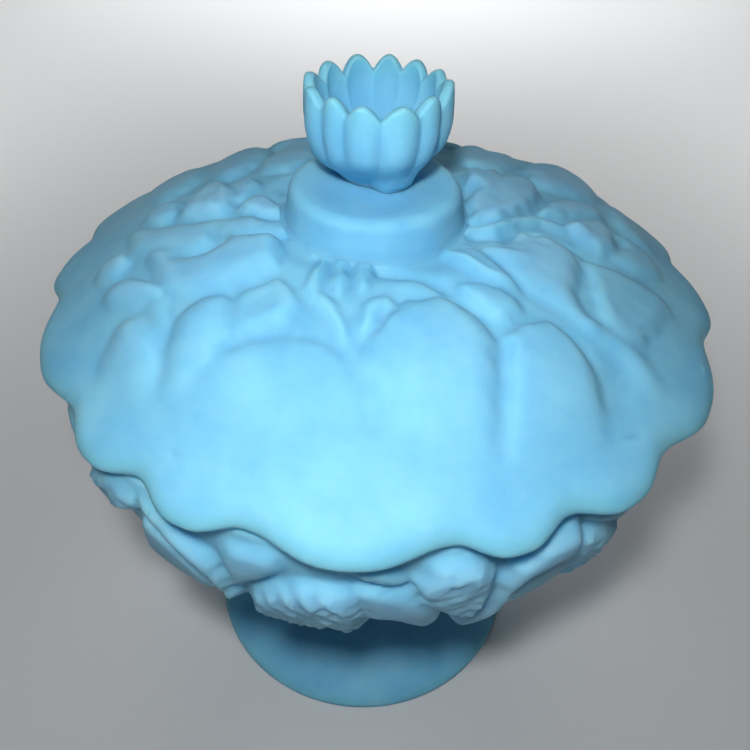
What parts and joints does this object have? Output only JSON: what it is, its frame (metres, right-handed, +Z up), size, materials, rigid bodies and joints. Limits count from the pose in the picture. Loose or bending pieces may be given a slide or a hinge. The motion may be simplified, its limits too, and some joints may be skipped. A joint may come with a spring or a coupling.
{
  "type": "footed covered dish",
  "caption": "Satin glass dish on a stemmed round foot, with a domed scalloped lid that lifts off by an open flower knob.",
  "frame": {"origin": "centre of the ring that the foot rests on, on the table's surface", "axes": "+Z up along the dish's own axis, through the bowl and the flower knob; -Y is the side that faces the viewer"},
  "size_m": [0.171, 0.1709, 0.1873],
  "materials": {
    "satin_glass": "acid-etched satin, pale blue, translucent only at its thin edges"
  },
  "bodies": {
    "bowl": {"footed_bowl": "satin_glass"},
    "lid": {"lid": "satin_glass"}
  },
  "joints": [
    {"name": "lid_lift", "type": "slide", "parent": "bowl", "child": "lid", "axis": [0, 0, 1], "range_m": [0, 0.12]}
  ]
}
